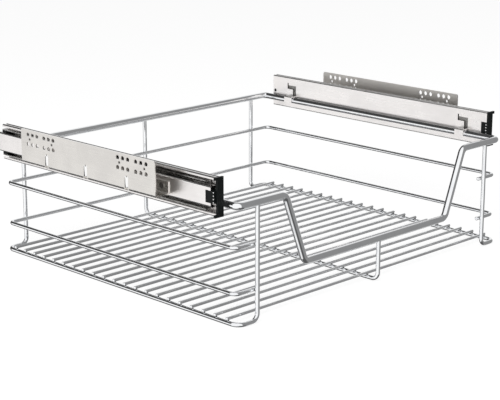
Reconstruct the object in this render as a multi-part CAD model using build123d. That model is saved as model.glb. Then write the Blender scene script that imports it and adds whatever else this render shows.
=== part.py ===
from build123d import *
import os
from math import sqrt

# Pull out cabinet basket: a welded wire basket between two full-extension ball-bearing slides, each
# carried by a folded bracket that screws to a cabinet side. Closed position.
# X across the cabinet, -Y towards the user, +Z up. The origin is the middle of the footprint.

# ---------------------------------------------------------------- driving dimensions (mm)
cabinet_width = 562.0           # between the outer faces of the two brackets

frame_wire = 9.0                # wire diameters
side_wire = 5.5
rail_wire = 5.0
floor_wire = 4.0
weld_gap = 0.05                 # left between two wires that meet at a weld

frame_half_depth = 216.5        # wire centre lines
frame_height = 143.0
frame_corner = 7.0
upright_outset = 1.5            # upright beyond the frame's centre line
upright_inset = 30.3            # upright in from the side wire's plane
upright_bite = 1.5              # upright top, below the frame's centre line
side_plane_outset = 1.5         # side wires beyond the frame's sides
side_corner = 12.0
upright_bend = 9.0
lower_rail_height = 39.0
upper_rail_height = 93.7
rail_corner = 8.0
rail_run_past_left = 1.0        # how far a rail's end runs past the upright
rail_run_past_right = 6.0

floor_pitch = 20.0
floor_overhang = 2.0            # floor wire beyond the side wire's centre line

scoop_top_half = 167.0          # handle dip in the front run
scoop_bar_half = 133.0
scoop_bar_height = 55.7
scoop_bend = 10.0

slide_length = 400.0
slide_travel = 400.0
slide_setback = 23.4            # slide's front end, behind the frame wire's front face
slide_height = 46.0
slide_thickness = 12.7
member_depth = 9.7              # basket member, web to lip
slide_sheet = 1.2
slide_above_wire = 9.5          # slide's centre above the frame wire's centre
seat_gap = 0.1

outer_ball = 4.0                # ball diameters: basket member to intermediate, and on inwards
inner_ball = 3.5
ball_play = 0.04
ball_hole_play = 0.15
ball_pitch = 16.0
balls_per_row = 10
cage_sheet = 0.4
cage_web_gap = 0.25
member_bend = 1.4               # centre line radii of the folds
cabinet_member_bend = 1.8
intermediate_bend = 1.0
cage_bend = 0.8
lip_depth = 3.4                 # curled edge that keeps the outer balls in
race_depth = 0.7                # groove rolled into the basket member's flanges for the outer balls
race_floor = 2.6
race_slope = 0.8
race_bend = 0.6
intermediate_edge_inset = 1.7   # middle member's edge, in from the slide's open side
cage_edge_reach = 0.7           # cage beyond the balls' middle, in ball diameters
cabinet_flange_gap = 0.4        # cabinet member's flange edge to the inner cage
bumper_length = 8.0

cabinet_member_setback = 8.0    # front end, behind the slide's front
cabinet_member_tail = 6.0       # rear end, beyond the basket member
intermediate_setback = 18.0
intermediate_tail_gap = 1.5

notch_depth = 9.0               # front end of the basket member's web
notch_height = 18.5
prong_depth = 8.4               # front end of the cabinet member's web
prong_gap = 14.4

cap_plate = 2.5
cap_overhang = 0.4
cap_lip_height = 3.4
cap_lip_overhang = 0.6
plug_gap = 0.2

hook_width = 11.0               # tab left in the window
hook_tab_height = 9.8
hook_lead = 3.0                 # folded strip's rear edge, in front of the tab's
hook_slot = 6.4
hook_band = 5.5
hook_ear = (2.2, 3.2)
hook_lip_drop = 8.2
hook_setbacks = (29.2, 349.0)   # from the slide's rear end
hook_bend = 1.0
rear_hole = 4.6
rear_hole_setback = 4.0

bracket_sheet = 1.5
bracket_depth = 21.2            # outer face to the cabinet member
bracket_length = 250.5
bracket_shift = 2.3             # bracket's middle, behind the slide's
bracket_height = 42.8
bracket_drop = 10.0             # bracket's floor below the slide's centre
bracket_lip = 15.3              # height of the inner flange
bracket_bend = 1.8
bracket_corner = 3.0
dart_pitch = 75.0
dart_height = 16.4
dart_depth = 2.4
dart_width = 6.0
dart_wall = 1.0
dart_notch = 2.4                # relief cut where a dart meets the fold
dart_hole = 2.0

screw_hole = 5.6
pilot_hole = 3.6
screw_steps = (0.0, 9.0, 18.0, 32.0, 41.0, 50.0)
screw_margin = 14.0             # bracket's rear edge to the first hole
cluster_pitch = 171.0
screw_row_drop = 6.2            # bracket's top edge to the upper row
screw_row_gap = 12.0
pilot_steps = (3.0, 47.0)

rivet_shank = 4.0
rivet_head = 7.0
rivet_head_height = 1.0
rivet_play = 0.03
rivet_pitch = 115.0
rivet_drop = 0.2                # below the slide's centre

# ---------------------------------------------------------------- derived places
cut_margin = 1.0                # how far a cutter reaches past what it cuts

cabinet_face_x = cabinet_width / 2 - bracket_depth
web_x = cabinet_face_x - slide_thickness
frame_side_x = web_x - seat_gap - frame_wire / 2
side_x = frame_side_x + side_plane_outset
upright_x = side_x - upright_inset
upright_y = frame_half_depth + upright_outset
rail_y = upright_y - (side_wire + rail_wire) / 2 - weld_gap
side_z = side_wire / 2
floor_z = side_wire + weld_gap + floor_wire / 2
floor_half_length = side_x + floor_overhang
floor_run = 2 * (upright_y - upright_bend)
floor_gaps = int(floor_run // floor_pitch)
floor_ys = [(floor_gaps / 2 - k) * floor_pitch for k in range(floor_gaps + 1)]

slide_z = frame_height + slide_above_wire
slide_front_y = slide_setback - frame_half_depth - frame_wire / 2
slide_centre_y = slide_front_y + slide_length / 2
slide_rear_y = slide_front_y + slide_length
member_front_y = slide_front_y + cap_plate
cabinet_member_front_y = slide_front_y + cabinet_member_setback
cabinet_member_rear_y = slide_rear_y + cabinet_member_tail
intermediate_front_y = slide_front_y + intermediate_setback
intermediate_rear_y = slide_rear_y - intermediate_tail_gap

half_sheet = slide_sheet / 2
half_height = slide_height / 2
outer_race = half_height - slide_sheet - race_depth     # where the outer balls roll
outer_ball_z = outer_race - outer_ball / 2
intermediate_top = outer_race - outer_ball
inner_race = intermediate_top - slide_sheet
inner_ball_z = inner_race - inner_ball / 2
cabinet_member_top = inner_race - inner_ball

outer_cage_t = slide_sheet + cage_web_gap + cage_sheet / 2
intermediate_web_t = outer_cage_t + cage_sheet / 2 + cage_web_gap + half_sheet
inner_cage_t = intermediate_web_t + half_sheet + cage_web_gap + cage_sheet / 2
cabinet_flange_t = inner_cage_t + cage_sheet + cabinet_flange_gap
intermediate_tip_t = slide_thickness - intermediate_edge_inset
outer_ball_t = member_depth / 2
inner_ball_t = (cabinet_flange_t + intermediate_tip_t) / 2
cage_half_length = (balls_per_row - 1) * ball_pitch / 2 + ball_pitch / 2

bracket_centre_y = slide_centre_y + bracket_shift
bracket_rear_y = bracket_centre_y + bracket_length / 2
bracket_front_y = bracket_centre_y - bracket_length / 2
bracket_floor_z = slide_z - bracket_drop
bracket_top_z = bracket_floor_z + bracket_height
screw_row_z = bracket_top_z - screw_row_drop
rivet_z = slide_z - rivet_drop
rivet_ys = [bracket_centre_y + k * rivet_pitch for k in (-1, 0, 1)]


# ---------------------------------------------------------------- helpers
def block(x_range, y_range, z_range):
    """Box between three pairs of limits."""
    spans = (x_range, y_range, z_range)
    middle = [(low + high) / 2 for low, high in spans]
    return Pos(*middle) * Box(*[abs(high - low) for low, high in spans])


def rod(start, end, diameter):
    """Round bar from start to end."""
    start, end = Vector(*start), Vector(*end)
    section = Plane(origin=start, z_dir=end - start) * Circle(diameter / 2)
    return extrude(section, amount=(end - start).length)


def bent_wire(points, radii, diameter):
    """Round wire along straight runs joined by tangent arcs."""
    path = FilletPolyline(*points, radius=radii)
    section = Plane(origin=path @ 0, z_dir=path % 0) * Circle(diameter / 2)
    return sweep(section, path=path)


def folded_sheet(points, bend, sheet, rear_y, front_y):
    """Sheet folded along points (x, z), running from rear_y to front_y."""
    profile = trace(FilletPolyline(*points, radius=bend), sheet)
    return extrude(Plane.XZ.offset(-rear_y) * profile, amount=rear_y - front_y, dir=(0, -1, 0))


def channel(tip_t, web_t, top, bend, sheet, rear_y, front_y):
    """C-section on its side: two flanges, mid-surface at +-top, and a web at web_t, in slide depth t."""
    outline = [(web_x + tip_t, slide_z + top), (web_x + web_t, slide_z + top),
               (web_x + web_t, slide_z - top), (web_x + tip_t, slide_z - top)]
    return folded_sheet(outline, bend, sheet, rear_y, front_y)


def save(shape, name):
    """Write one node."""
    export_step(shape, f"parts/{name}.step")


def save_pair(shape, name):
    """Write the right-hand shape and its mirror image."""
    save(shape, f"right_{name}")
    save(mirror(shape, about=Plane.YZ), f"left_{name}")


# ---------------------------------------------------------------- wire basket
def make_top_frame():
    """Closed top loop; its front run dips into the scoop handle."""
    z = frame_height
    y = frame_half_depth
    half_path = [(0, y, z), (frame_side_x, y, z), (frame_side_x, -y, z), (scoop_top_half, -y, z),
                 (scoop_bar_half, -y, scoop_bar_height), (0, -y, scoop_bar_height)]
    radii = [frame_corner, frame_corner, scoop_bend, scoop_bend]
    right_half = bent_wire(half_path, radii, frame_wire)
    return right_half + mirror(right_half, about=Plane.YZ)


def frame_clearance(y, z, half_length):
    """Cutter that shapes an upright's top end to the frame wire above it."""
    return rod((-half_length, y, z), (half_length, y, z), frame_wire + 2 * weld_gap)


def make_side_wire():
    """Right side: front upright, short front run, side run, short rear run, rear upright."""
    top = frame_height - upright_bite
    points = [(upright_x, -upright_y, top), (upright_x, -upright_y, side_z), (side_x, -upright_y, side_z),
              (side_x, upright_y, side_z), (upright_x, upright_y, side_z), (upright_x, upright_y, top)]
    wire = bent_wire(points, [upright_bend, side_corner, side_corner, upright_bend], side_wire)
    for y in (-frame_half_depth, frame_half_depth):
        wire -= frame_clearance(y, frame_height, side_x)
    return wire


def make_centre_wire():
    """Middle: rear upright, run under the floor, short front upright to the scoop bar."""
    points = [(0, upright_y, frame_height - upright_bite), (0, upright_y, side_z),
              (0, -upright_y, side_z), (0, -upright_y, scoop_bar_height - upright_bite)]
    wire = bent_wire(points, upright_bend, side_wire)
    wire -= frame_clearance(frame_half_depth, frame_height, side_x)
    return wire - frame_clearance(-frame_half_depth, scoop_bar_height, scoop_bar_half)


def make_rail(z):
    """Rail round the left side, the rear and the right side, with both ends turned in at the front."""
    left_end = -upright_x + rail_run_past_left
    right_end = upright_x - rail_run_past_right
    points = [(left_end, -rail_y, z), (-side_x, -rail_y, z), (-side_x, rail_y, z),
              (side_x, rail_y, z), (side_x, -rail_y, z), (right_end, -rail_y, z)]
    return bent_wire(points, rail_corner, rail_wire)


def make_floor_wire(y):
    """Cross wire that lies on the side wires and the centre wire."""
    return rod((-floor_half_length, y, floor_z), (floor_half_length, y, floor_z), floor_wire)


# ---------------------------------------------------------------- slides (right-hand side)
def make_hook(rear_y):
    """Tab in the web's window; from its foot a wider strip folds over the frame wire."""
    web_mid_x = web_x + half_sheet
    roof_z = frame_height + frame_wire / 2 + seat_gap + half_sheet
    lip_x = frame_side_x - frame_wire / 2 - seat_gap - half_sheet
    tab_top_z = roof_z + hook_tab_height
    outline = [(web_mid_x, tab_top_z), (web_mid_x, roof_z), (lip_x, roof_z), (lip_x, roof_z - hook_lip_drop)]
    slot_rear_y = rear_y - hook_width
    front_y = slot_rear_y - hook_slot
    strip = folded_sheet(outline, hook_bend, slide_sheet, rear_y - hook_lead, front_y)
    slot_x = (web_x - hook_bend - cut_margin, web_x + slide_sheet + cut_margin)
    strip -= block(slot_x, (front_y - cut_margin, slot_rear_y), (roof_z + half_sheet, tab_top_z + cut_margin))
    tab = block((web_x, web_x + slide_sheet), (slot_rear_y, rear_y), (roof_z + hook_bend, tab_top_z))
    foot = block((web_x, web_x + slide_sheet), (rear_y - hook_lead, rear_y), (roof_z - half_sheet, tab_top_z))
    return strip + tab + foot


def hook_window(rear_y):
    """Opening in the web round a tab: a band above it, an ear at the rear and a slot in front."""
    through = (web_x - cut_margin, web_x + slide_sheet + cut_margin)
    roof_z = frame_height + frame_wire / 2 + seat_gap
    band_z = roof_z + hook_tab_height + half_sheet
    slot_rear_y = rear_y - hook_width
    front_y = slot_rear_y - hook_slot
    ear_width, ear_height = hook_ear
    band = block(through, (front_y, rear_y), (band_z, band_z + hook_band))
    ear = block(through, (rear_y - ear_width, rear_y), (band_z, band_z + hook_band + ear_height))
    slot = block(through, (front_y, slot_rear_y), (roof_z, band_z + hook_band))
    return band + ear + slot


def flange_outline(top):
    """Half of the basket member's section, (x, z) from a lip's edge to the web, for top = 1 or -1."""
    lip_t = member_depth - half_sheet
    flange = half_height - half_sheet
    profile = [(lip_t, half_height - lip_depth), (lip_t, flange),
               (outer_ball_t + race_floor / 2 + race_slope, flange),
               (outer_ball_t + race_floor / 2, flange - race_depth),
               (outer_ball_t - race_floor / 2, flange - race_depth),
               (outer_ball_t - race_floor / 2 - race_slope, flange), (half_sheet, flange)]
    return [(web_x + t, slide_z + top * rise) for t, rise in profile]


def make_basket_member():
    """Largest slide member: C-section with grooved flanges and curled lips, two hooks and a front notch."""
    outline = flange_outline(1) + flange_outline(-1)[::-1]
    half_bends = [member_bend] + 4 * [race_bend] + [member_bend]
    member = folded_sheet(outline, half_bends + half_bends, slide_sheet, slide_rear_y, member_front_y)
    for setback in hook_setbacks:
        member -= hook_window(slide_rear_y - setback)
        member += make_hook(slide_rear_y - setback)
    through = (web_x - cut_margin, web_x + slide_sheet + cut_margin)
    member -= block(through, (member_front_y - cut_margin, member_front_y + notch_depth),
                    (slide_z - notch_height / 2, slide_z + notch_height / 2))
    hole_y = slide_rear_y - rear_hole_setback
    return member - rod((through[0], hole_y, slide_z), (through[1], hole_y, slide_z), rear_hole)


def make_front_cap():
    """Plastic end cap: a plate over the basket member's end and a plug in its notch."""
    rim = half_height + cap_overhang
    plate_y = (slide_front_y, member_front_y)
    cap = block((web_x, web_x + member_depth), plate_y, (slide_z - rim, slide_z + rim))
    lip_x = (web_x, web_x + slide_thickness + cap_lip_overhang)
    cap += block(lip_x, plate_y, (slide_z + rim - cap_lip_height, slide_z + rim))
    cap += block(lip_x, plate_y, (slide_z - rim, slide_z - rim + cap_lip_height))
    wide = notch_height / 2 - plug_gap
    narrow = prong_gap / 2 - plug_gap
    step_x = web_x + slide_thickness / 2
    cap += block((web_x, step_x), (member_front_y, member_front_y + notch_depth - plug_gap),
                 (slide_z - wide, slide_z + wide))
    prong_root_y = cabinet_member_front_y + prong_depth
    cap += block((web_x + slide_sheet + plug_gap, web_x + slide_thickness),
                 (member_front_y, prong_root_y - plug_gap), (slide_z - narrow, slide_z + narrow))
    return cap


def make_cabinet_member():
    """Smallest slide member: its web lies on the bracket, and its front end is forked."""
    web_t = slide_thickness - half_sheet
    member = channel(cabinet_flange_t, web_t, cabinet_member_top - half_sheet, cabinet_member_bend,
                     slide_sheet, cabinet_member_rear_y, cabinet_member_front_y)
    through = (cabinet_face_x - slide_sheet - cut_margin, cabinet_face_x + cut_margin)
    fork_y = (cabinet_member_front_y - cut_margin, cabinet_member_front_y + prong_depth)
    member -= block(through, fork_y, (slide_z - prong_gap / 2, slide_z + prong_gap / 2))
    for y in rivet_ys:
        member -= rod((through[0], y, rivet_z), (through[1], y, rivet_z), rivet_shank + 2 * rivet_play)
    return member


def make_intermediate_member():
    """Middle slide member, between the two rows of balls."""
    return channel(intermediate_tip_t, intermediate_web_t, intermediate_top - half_sheet,
                   intermediate_bend, slide_sheet, intermediate_rear_y, intermediate_front_y)


def make_bumper():
    """Plastic stop at the intermediate member's rear end, round the cabinet member."""
    web_face_t = intermediate_web_t + half_sheet
    play = cage_web_gap
    outer = inner_race - play / 2
    inner = cabinet_member_top + play
    rear_y = intermediate_rear_y
    front_y = rear_y - bumper_length
    solid = block((web_x + web_face_t + play / 2, web_x + intermediate_tip_t), (front_y, rear_y),
                  (slide_z - outer, slide_z + outer))
    hollow = block((web_x + cabinet_flange_t - play, web_x + slide_thickness),
                   (front_y - cut_margin, rear_y + cut_margin), (slide_z - inner, slide_z + inner))
    return solid - hollow


def ball_ys():
    """Places of the balls along the slide, about its middle."""
    half = (balls_per_row - 1) / 2
    return [slide_centre_y + (k - half) * ball_pitch for k in range(balls_per_row)]


def make_cage(web_t, tip_t, ball_t, ball_z, ball):
    """Thin steel channel with a hole for each ball."""
    cage = channel(tip_t, web_t, ball_z, cage_bend, cage_sheet,
                   slide_centre_y + cage_half_length, slide_centre_y - cage_half_length)
    reach = ball_z + cage_sheet + cut_margin
    for y in ball_ys():
        x = web_x + ball_t
        cage -= rod((x, y, slide_z - reach), (x, y, slide_z + reach), ball + 2 * ball_hole_play)
    return cage


def make_balls(ball_t, ball_z, ball):
    """Two rows of balls, top and bottom."""
    sphere = Sphere(ball / 2 - ball_play)
    places = [Pos(web_x + ball_t, y, slide_z + side * ball_z) for side in (-1, 1) for y in ball_ys()]
    return Compound(children=[place * sphere for place in places])


# ---------------------------------------------------------------- cabinet bracket (right-hand side)
def dart_face(margin):
    """Triangle across the outer fold, as deep as a dart and pushed inwards by margin."""
    face_x = cabinet_width / 2
    slope = sqrt(dart_depth ** 2 + dart_height ** 2)
    grow = margin * slope
    corners = [(face_x, bracket_floor_z), (face_x, bracket_floor_z + dart_height + grow / dart_depth),
               (face_x - dart_depth - grow / dart_height, bracket_floor_z)]
    return Plane.XZ * make_face(Polyline(*corners, close=True))


def dart_wedge(y, width, margin):
    """Solid wedge for the dart at y."""
    return Pos(0, y + width / 2, 0) * extrude(dart_face(margin), amount=width, dir=(0, -1, 0))


def make_bracket():
    """Folded bracket: tall plate on the cabinet side, floor, and a flange on the cabinet member."""
    plate_x = cabinet_width / 2 - bracket_sheet / 2
    flange_x = cabinet_face_x + bracket_sheet / 2
    floor_mid_z = bracket_floor_z + bracket_sheet / 2
    outline = [(plate_x, bracket_top_z), (plate_x, floor_mid_z), (flange_x, floor_mid_z),
               (flange_x, bracket_floor_z + bracket_lip)]
    bracket = folded_sheet(outline, bracket_bend, bracket_sheet, bracket_rear_y, bracket_front_y)
    cross_edges = bracket.edges().filter_by(Axis.X).group_by(Axis.Z)
    bracket = fillet(cross_edges[-1], bracket_corner)
    for k in (-1, 0, 1):
        y = bracket_centre_y + k * dart_pitch
        bracket += dart_wedge(y, dart_width + 2 * dart_wall, bracket_sheet)
        bracket -= dart_wedge(y, dart_width, 0)
        bracket -= block((cabinet_width / 2 - dart_depth, cabinet_width / 2 + cut_margin),
                         (y - dart_width / 2, y + dart_width / 2),
                         (bracket_floor_z - cut_margin, bracket_floor_z + dart_notch))
        tip_z = bracket_floor_z + dart_height
        bracket -= rod((cabinet_width / 2 - bracket_sheet - dart_depth, y, tip_z),
                       (cabinet_width / 2 + cut_margin, y, tip_z), dart_hole)
    plate_cut = (cabinet_width / 2 - bracket_sheet - cut_margin, cabinet_width / 2 + cut_margin)
    pilot_z = screw_row_z - screw_row_gap / 2
    row_zs = (screw_row_z, screw_row_z - screw_row_gap)
    holes = [(step, z, screw_hole) for step in screw_steps for z in row_zs]
    holes += [(step, pilot_z, pilot_hole) for step in pilot_steps]
    for cluster in (0, 1):
        first_y = bracket_rear_y - screw_margin - cluster * cluster_pitch
        for step, z, diameter in holes:
            y = first_y - step
            bracket -= rod((plate_cut[0], y, z), (plate_cut[1], y, z), diameter)
    flange_cut = (cabinet_face_x - cut_margin, cabinet_face_x + bracket_sheet + cut_margin)
    for y in rivet_ys:
        bracket -= rod((flange_cut[0], y, rivet_z), (flange_cut[1], y, rivet_z),
                       rivet_shank + 2 * rivet_play)
    return bracket


def make_rivets():
    """Rivets that join the cabinet member to the bracket's inner flange."""
    inner_face = cabinet_face_x - slide_sheet
    outer_face = cabinet_face_x + bracket_sheet
    rivets = []
    for y in rivet_ys:
        shank = rod((inner_face, y, rivet_z), (outer_face, y, rivet_z), rivet_shank)
        inner_head = rod((inner_face, y, rivet_z), (inner_face - rivet_head_height, y, rivet_z), rivet_head)
        outer_head = rod((outer_face, y, rivet_z), (outer_face + rivet_head_height, y, rivet_z), rivet_head)
        rivets.append(shank + inner_head + outer_head)
    return Compound(children=rivets)


# ---------------------------------------------------------------- write every node
def main():
    os.makedirs("parts", exist_ok=True)
    save(make_top_frame(), "top_frame")
    save_pair(make_side_wire(), "side_wire")
    save(make_centre_wire(), "centre_wire")
    save(make_rail(lower_rail_height), "lower_rail_wire")
    save(make_rail(upper_rail_height), "upper_rail_wire")
    for number, y in enumerate(floor_ys, start=1):
        save(make_floor_wire(y), f"floor_wire_{number:02d}")
    save_pair(make_basket_member(), "basket_member")
    save_pair(make_front_cap(), "front_cap")
    save_pair(make_cabinet_member(), "cabinet_member")
    save_pair(make_intermediate_member(), "intermediate_member")
    save_pair(make_bumper(), "intermediate_bumper")
    save_pair(make_cage(outer_cage_t, outer_ball_t + outer_ball * cage_edge_reach, outer_ball_t,
                        outer_ball_z, outer_ball),
              "outer_ball_cage")
    save_pair(make_cage(inner_cage_t, inner_ball_t + inner_ball * cage_edge_reach, inner_ball_t,
                        inner_ball_z, inner_ball),
              "inner_ball_cage")
    save_pair(make_balls(outer_ball_t, outer_ball_z, outer_ball), "outer_balls")
    save_pair(make_balls(inner_ball_t, inner_ball_z, inner_ball), "inner_balls")
    save_pair(make_bracket(), "cabinet_bracket")
    save_pair(make_rivets(), "bracket_rivets")


main()
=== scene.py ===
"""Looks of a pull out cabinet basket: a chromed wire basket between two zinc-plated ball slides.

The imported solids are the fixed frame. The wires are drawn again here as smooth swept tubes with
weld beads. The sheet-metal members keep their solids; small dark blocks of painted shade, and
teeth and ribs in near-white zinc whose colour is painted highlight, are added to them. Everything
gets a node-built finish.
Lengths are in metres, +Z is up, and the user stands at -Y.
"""
import logging
import math
from dataclasses import dataclass, field
from enum import Enum
from typing import Optional, Sequence

import bmesh
import bpy
from mathutils import Matrix, Vector, noise

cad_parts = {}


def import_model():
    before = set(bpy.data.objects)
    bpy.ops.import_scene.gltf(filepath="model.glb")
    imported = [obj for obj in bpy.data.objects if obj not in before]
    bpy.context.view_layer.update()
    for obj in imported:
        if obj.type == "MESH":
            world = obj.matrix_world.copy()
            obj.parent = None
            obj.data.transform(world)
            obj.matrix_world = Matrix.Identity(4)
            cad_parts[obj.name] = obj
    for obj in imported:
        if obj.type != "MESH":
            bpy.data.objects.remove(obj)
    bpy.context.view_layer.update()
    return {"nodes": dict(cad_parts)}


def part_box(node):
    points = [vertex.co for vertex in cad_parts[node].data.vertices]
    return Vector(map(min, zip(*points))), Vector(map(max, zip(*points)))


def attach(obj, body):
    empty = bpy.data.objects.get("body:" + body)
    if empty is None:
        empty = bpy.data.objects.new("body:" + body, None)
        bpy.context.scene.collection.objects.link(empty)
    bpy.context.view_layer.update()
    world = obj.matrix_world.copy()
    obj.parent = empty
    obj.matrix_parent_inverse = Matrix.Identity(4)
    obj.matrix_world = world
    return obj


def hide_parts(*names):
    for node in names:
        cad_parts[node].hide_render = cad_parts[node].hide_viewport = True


LOG = logging.getLogger("basket")
MM = 0.001
ALONG_X = Vector((1, 0, 0))
Colour = tuple[float, float, float]
HalfSizes = tuple[float, float, float]
Span = tuple[float, float]
Spot = tuple[Vector, Vector, Vector]
Station = tuple[Vector, Vector, Vector, float]


class Side(Enum):
    """The two mirror-image ends of the assembly, as signs of X."""

    LEFT = -1
    RIGHT = 1

    @property
    def word(self) -> str:
        """The side's name as the CAD nodes spell it."""
        return self.name.lower()


class Slot(Enum):
    """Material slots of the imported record."""

    WIRE = "chrome_wire"
    SLIDE = "zinc_slide"
    BRACKET = "zinc_bracket"
    RIVET = "zinc_rivet"
    PLASTIC = "black_plastic"
    CAGE = "steel_cage"
    BALL = "steel_ball"


class Axis(Enum):
    """Direction in which a sheet was rolled, as a scale on object coordinates."""

    Y = (60.0, 1.0, 60.0)
    Z = (60.0, 60.0, 1.0)


# ------------------------------------------------------------------ shader nodes
class NodeSheet:
    """A node tree with short calls to add and join nodes.

    The Mix node keeps sockets for every kind of data; the two tuples say where the factor, both
    inputs and the result stand for colours and for numbers.
    """

    COLOUR_SOCKETS = (0, 6, 7, 2)
    NUMBER_SOCKETS = (0, 2, 3, 0)

    def __init__(self, tree: bpy.types.NodeTree) -> None:
        """Wraps a node tree.

        Args:
            tree: the tree of a material, a group or the world.
        """
        self.tree = tree

    def add(self, kind: str, **settings: object) -> bpy.types.Node:
        """Adds one node.

        Args:
            kind: the node's bl_idname.
            settings: plain attributes of the node.

        Returns:
            The new node.
        """
        node = self.tree.nodes.new(kind)
        for name, value in settings.items():
            setattr(node, name, value)
        return node

    def put(self, node: bpy.types.Node, socket: object, value: object) -> None:
        """Sets an input, or joins it to an output when value is a socket.

        Args:
            node: the node that owns the input.
            socket: name or index of the input.
            value: a number, a colour or an output socket.
        """
        target = node.inputs[socket]
        if isinstance(value, bpy.types.NodeSocket):
            self.tree.links.new(value, target)
        else:
            target.default_value = value

    def maths(self, operation: str, *values: object, clamp: bool = False) -> bpy.types.NodeSocket:
        """Adds a Math node and returns its output.

        Args:
            operation: the Math node's operation.
            values: its inputs, numbers or sockets.
            clamp: keep the result between 0 and 1.

        Returns:
            The output socket.
        """
        node = self.add("ShaderNodeMath", operation=operation, use_clamp=clamp)
        for index, value in enumerate(values):
            self.put(node, index, value)
        return node.outputs[0]

    def remap(self, value: object, low: float, high: float, to_low: float = 0.0,
              to_high: float = 1.0) -> bpy.types.NodeSocket:
        """Smoothly maps a value from one span to another.

        Args:
            value: the socket to map.
            low: start of the input span.
            high: end of the input span.
            to_low: result at low.
            to_high: result at high.

        Returns:
            The output socket.
        """
        node = self.add("ShaderNodeMapRange", interpolation_type="SMOOTHSTEP")
        for name, item in (("Value", value), ("From Min", low), ("From Max", high),
                           ("To Min", to_low), ("To Max", to_high)):
            self.put(node, name, item)
        return node.outputs["Result"]

    def blend(self, amount: object, first: object, second: object) -> bpy.types.NodeSocket:
        """Mixes two colours.

        Args:
            amount: 0 gives first, 1 gives second.
            first: colour or socket.
            second: colour or socket.

        Returns:
            The mixed colour's socket.
        """
        node = self.add("ShaderNodeMix", data_type="RGBA")
        return self._mixed(node, self.COLOUR_SOCKETS, (amount, first, second))

    def lerp(self, amount: object, first: object, second: object) -> bpy.types.NodeSocket:
        """Mixes two numbers.

        Args:
            amount: 0 gives first, 1 gives second.
            first: number or socket.
            second: number or socket.

        Returns:
            The mixed number's socket.
        """
        node = self.add("ShaderNodeMix", data_type="FLOAT")
        return self._mixed(node, self.NUMBER_SOCKETS, (amount, first, second))

    def _mixed(self, node: bpy.types.Node, sockets: Sequence[int],
               values: Sequence[object]) -> bpy.types.NodeSocket:
        """Fills a Mix node.

        Args:
            node: the Mix node.
            sockets: places of its factor, its two inputs and its result.
            values: factor, first and second input.

        Returns:
            The result's socket.
        """
        *inputs, result = sockets
        for index, value in zip(inputs, values):
            self.put(node, index, value)
        return node.outputs[result]

    def grain(self, vector: object, scale: float, detail: float = 4.0,
              roughness: float = 0.5) -> bpy.types.NodeSocket:
        """Adds a Noise texture and returns its value.

        Args:
            vector: where to read it.
            scale: its frequency per metre.
            detail: octaves.
            roughness: weight of the finer octaves.

        Returns:
            The factor socket.
        """
        node = self.add("ShaderNodeTexNoise")
        for name, item in (("Vector", vector), ("Scale", scale), ("Detail", detail),
                           ("Roughness", roughness)):
            self.put(node, name, item)
        return node.outputs[0]


class EffectGroup(Enum):
    """Names of the shared effects, each one node group."""

    PLATING = "plating cloud"
    ROLLED = "rolled grain"
    # The edge group lays abrasion and painted edge highlight.
    WEAR = "edge wear and highlight"
    MOULDED = "moulded skin"
    # The slope group lays painted highlight.
    PRESSED = "painted slope highlight"
    INWARD = "inner faces"


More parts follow.
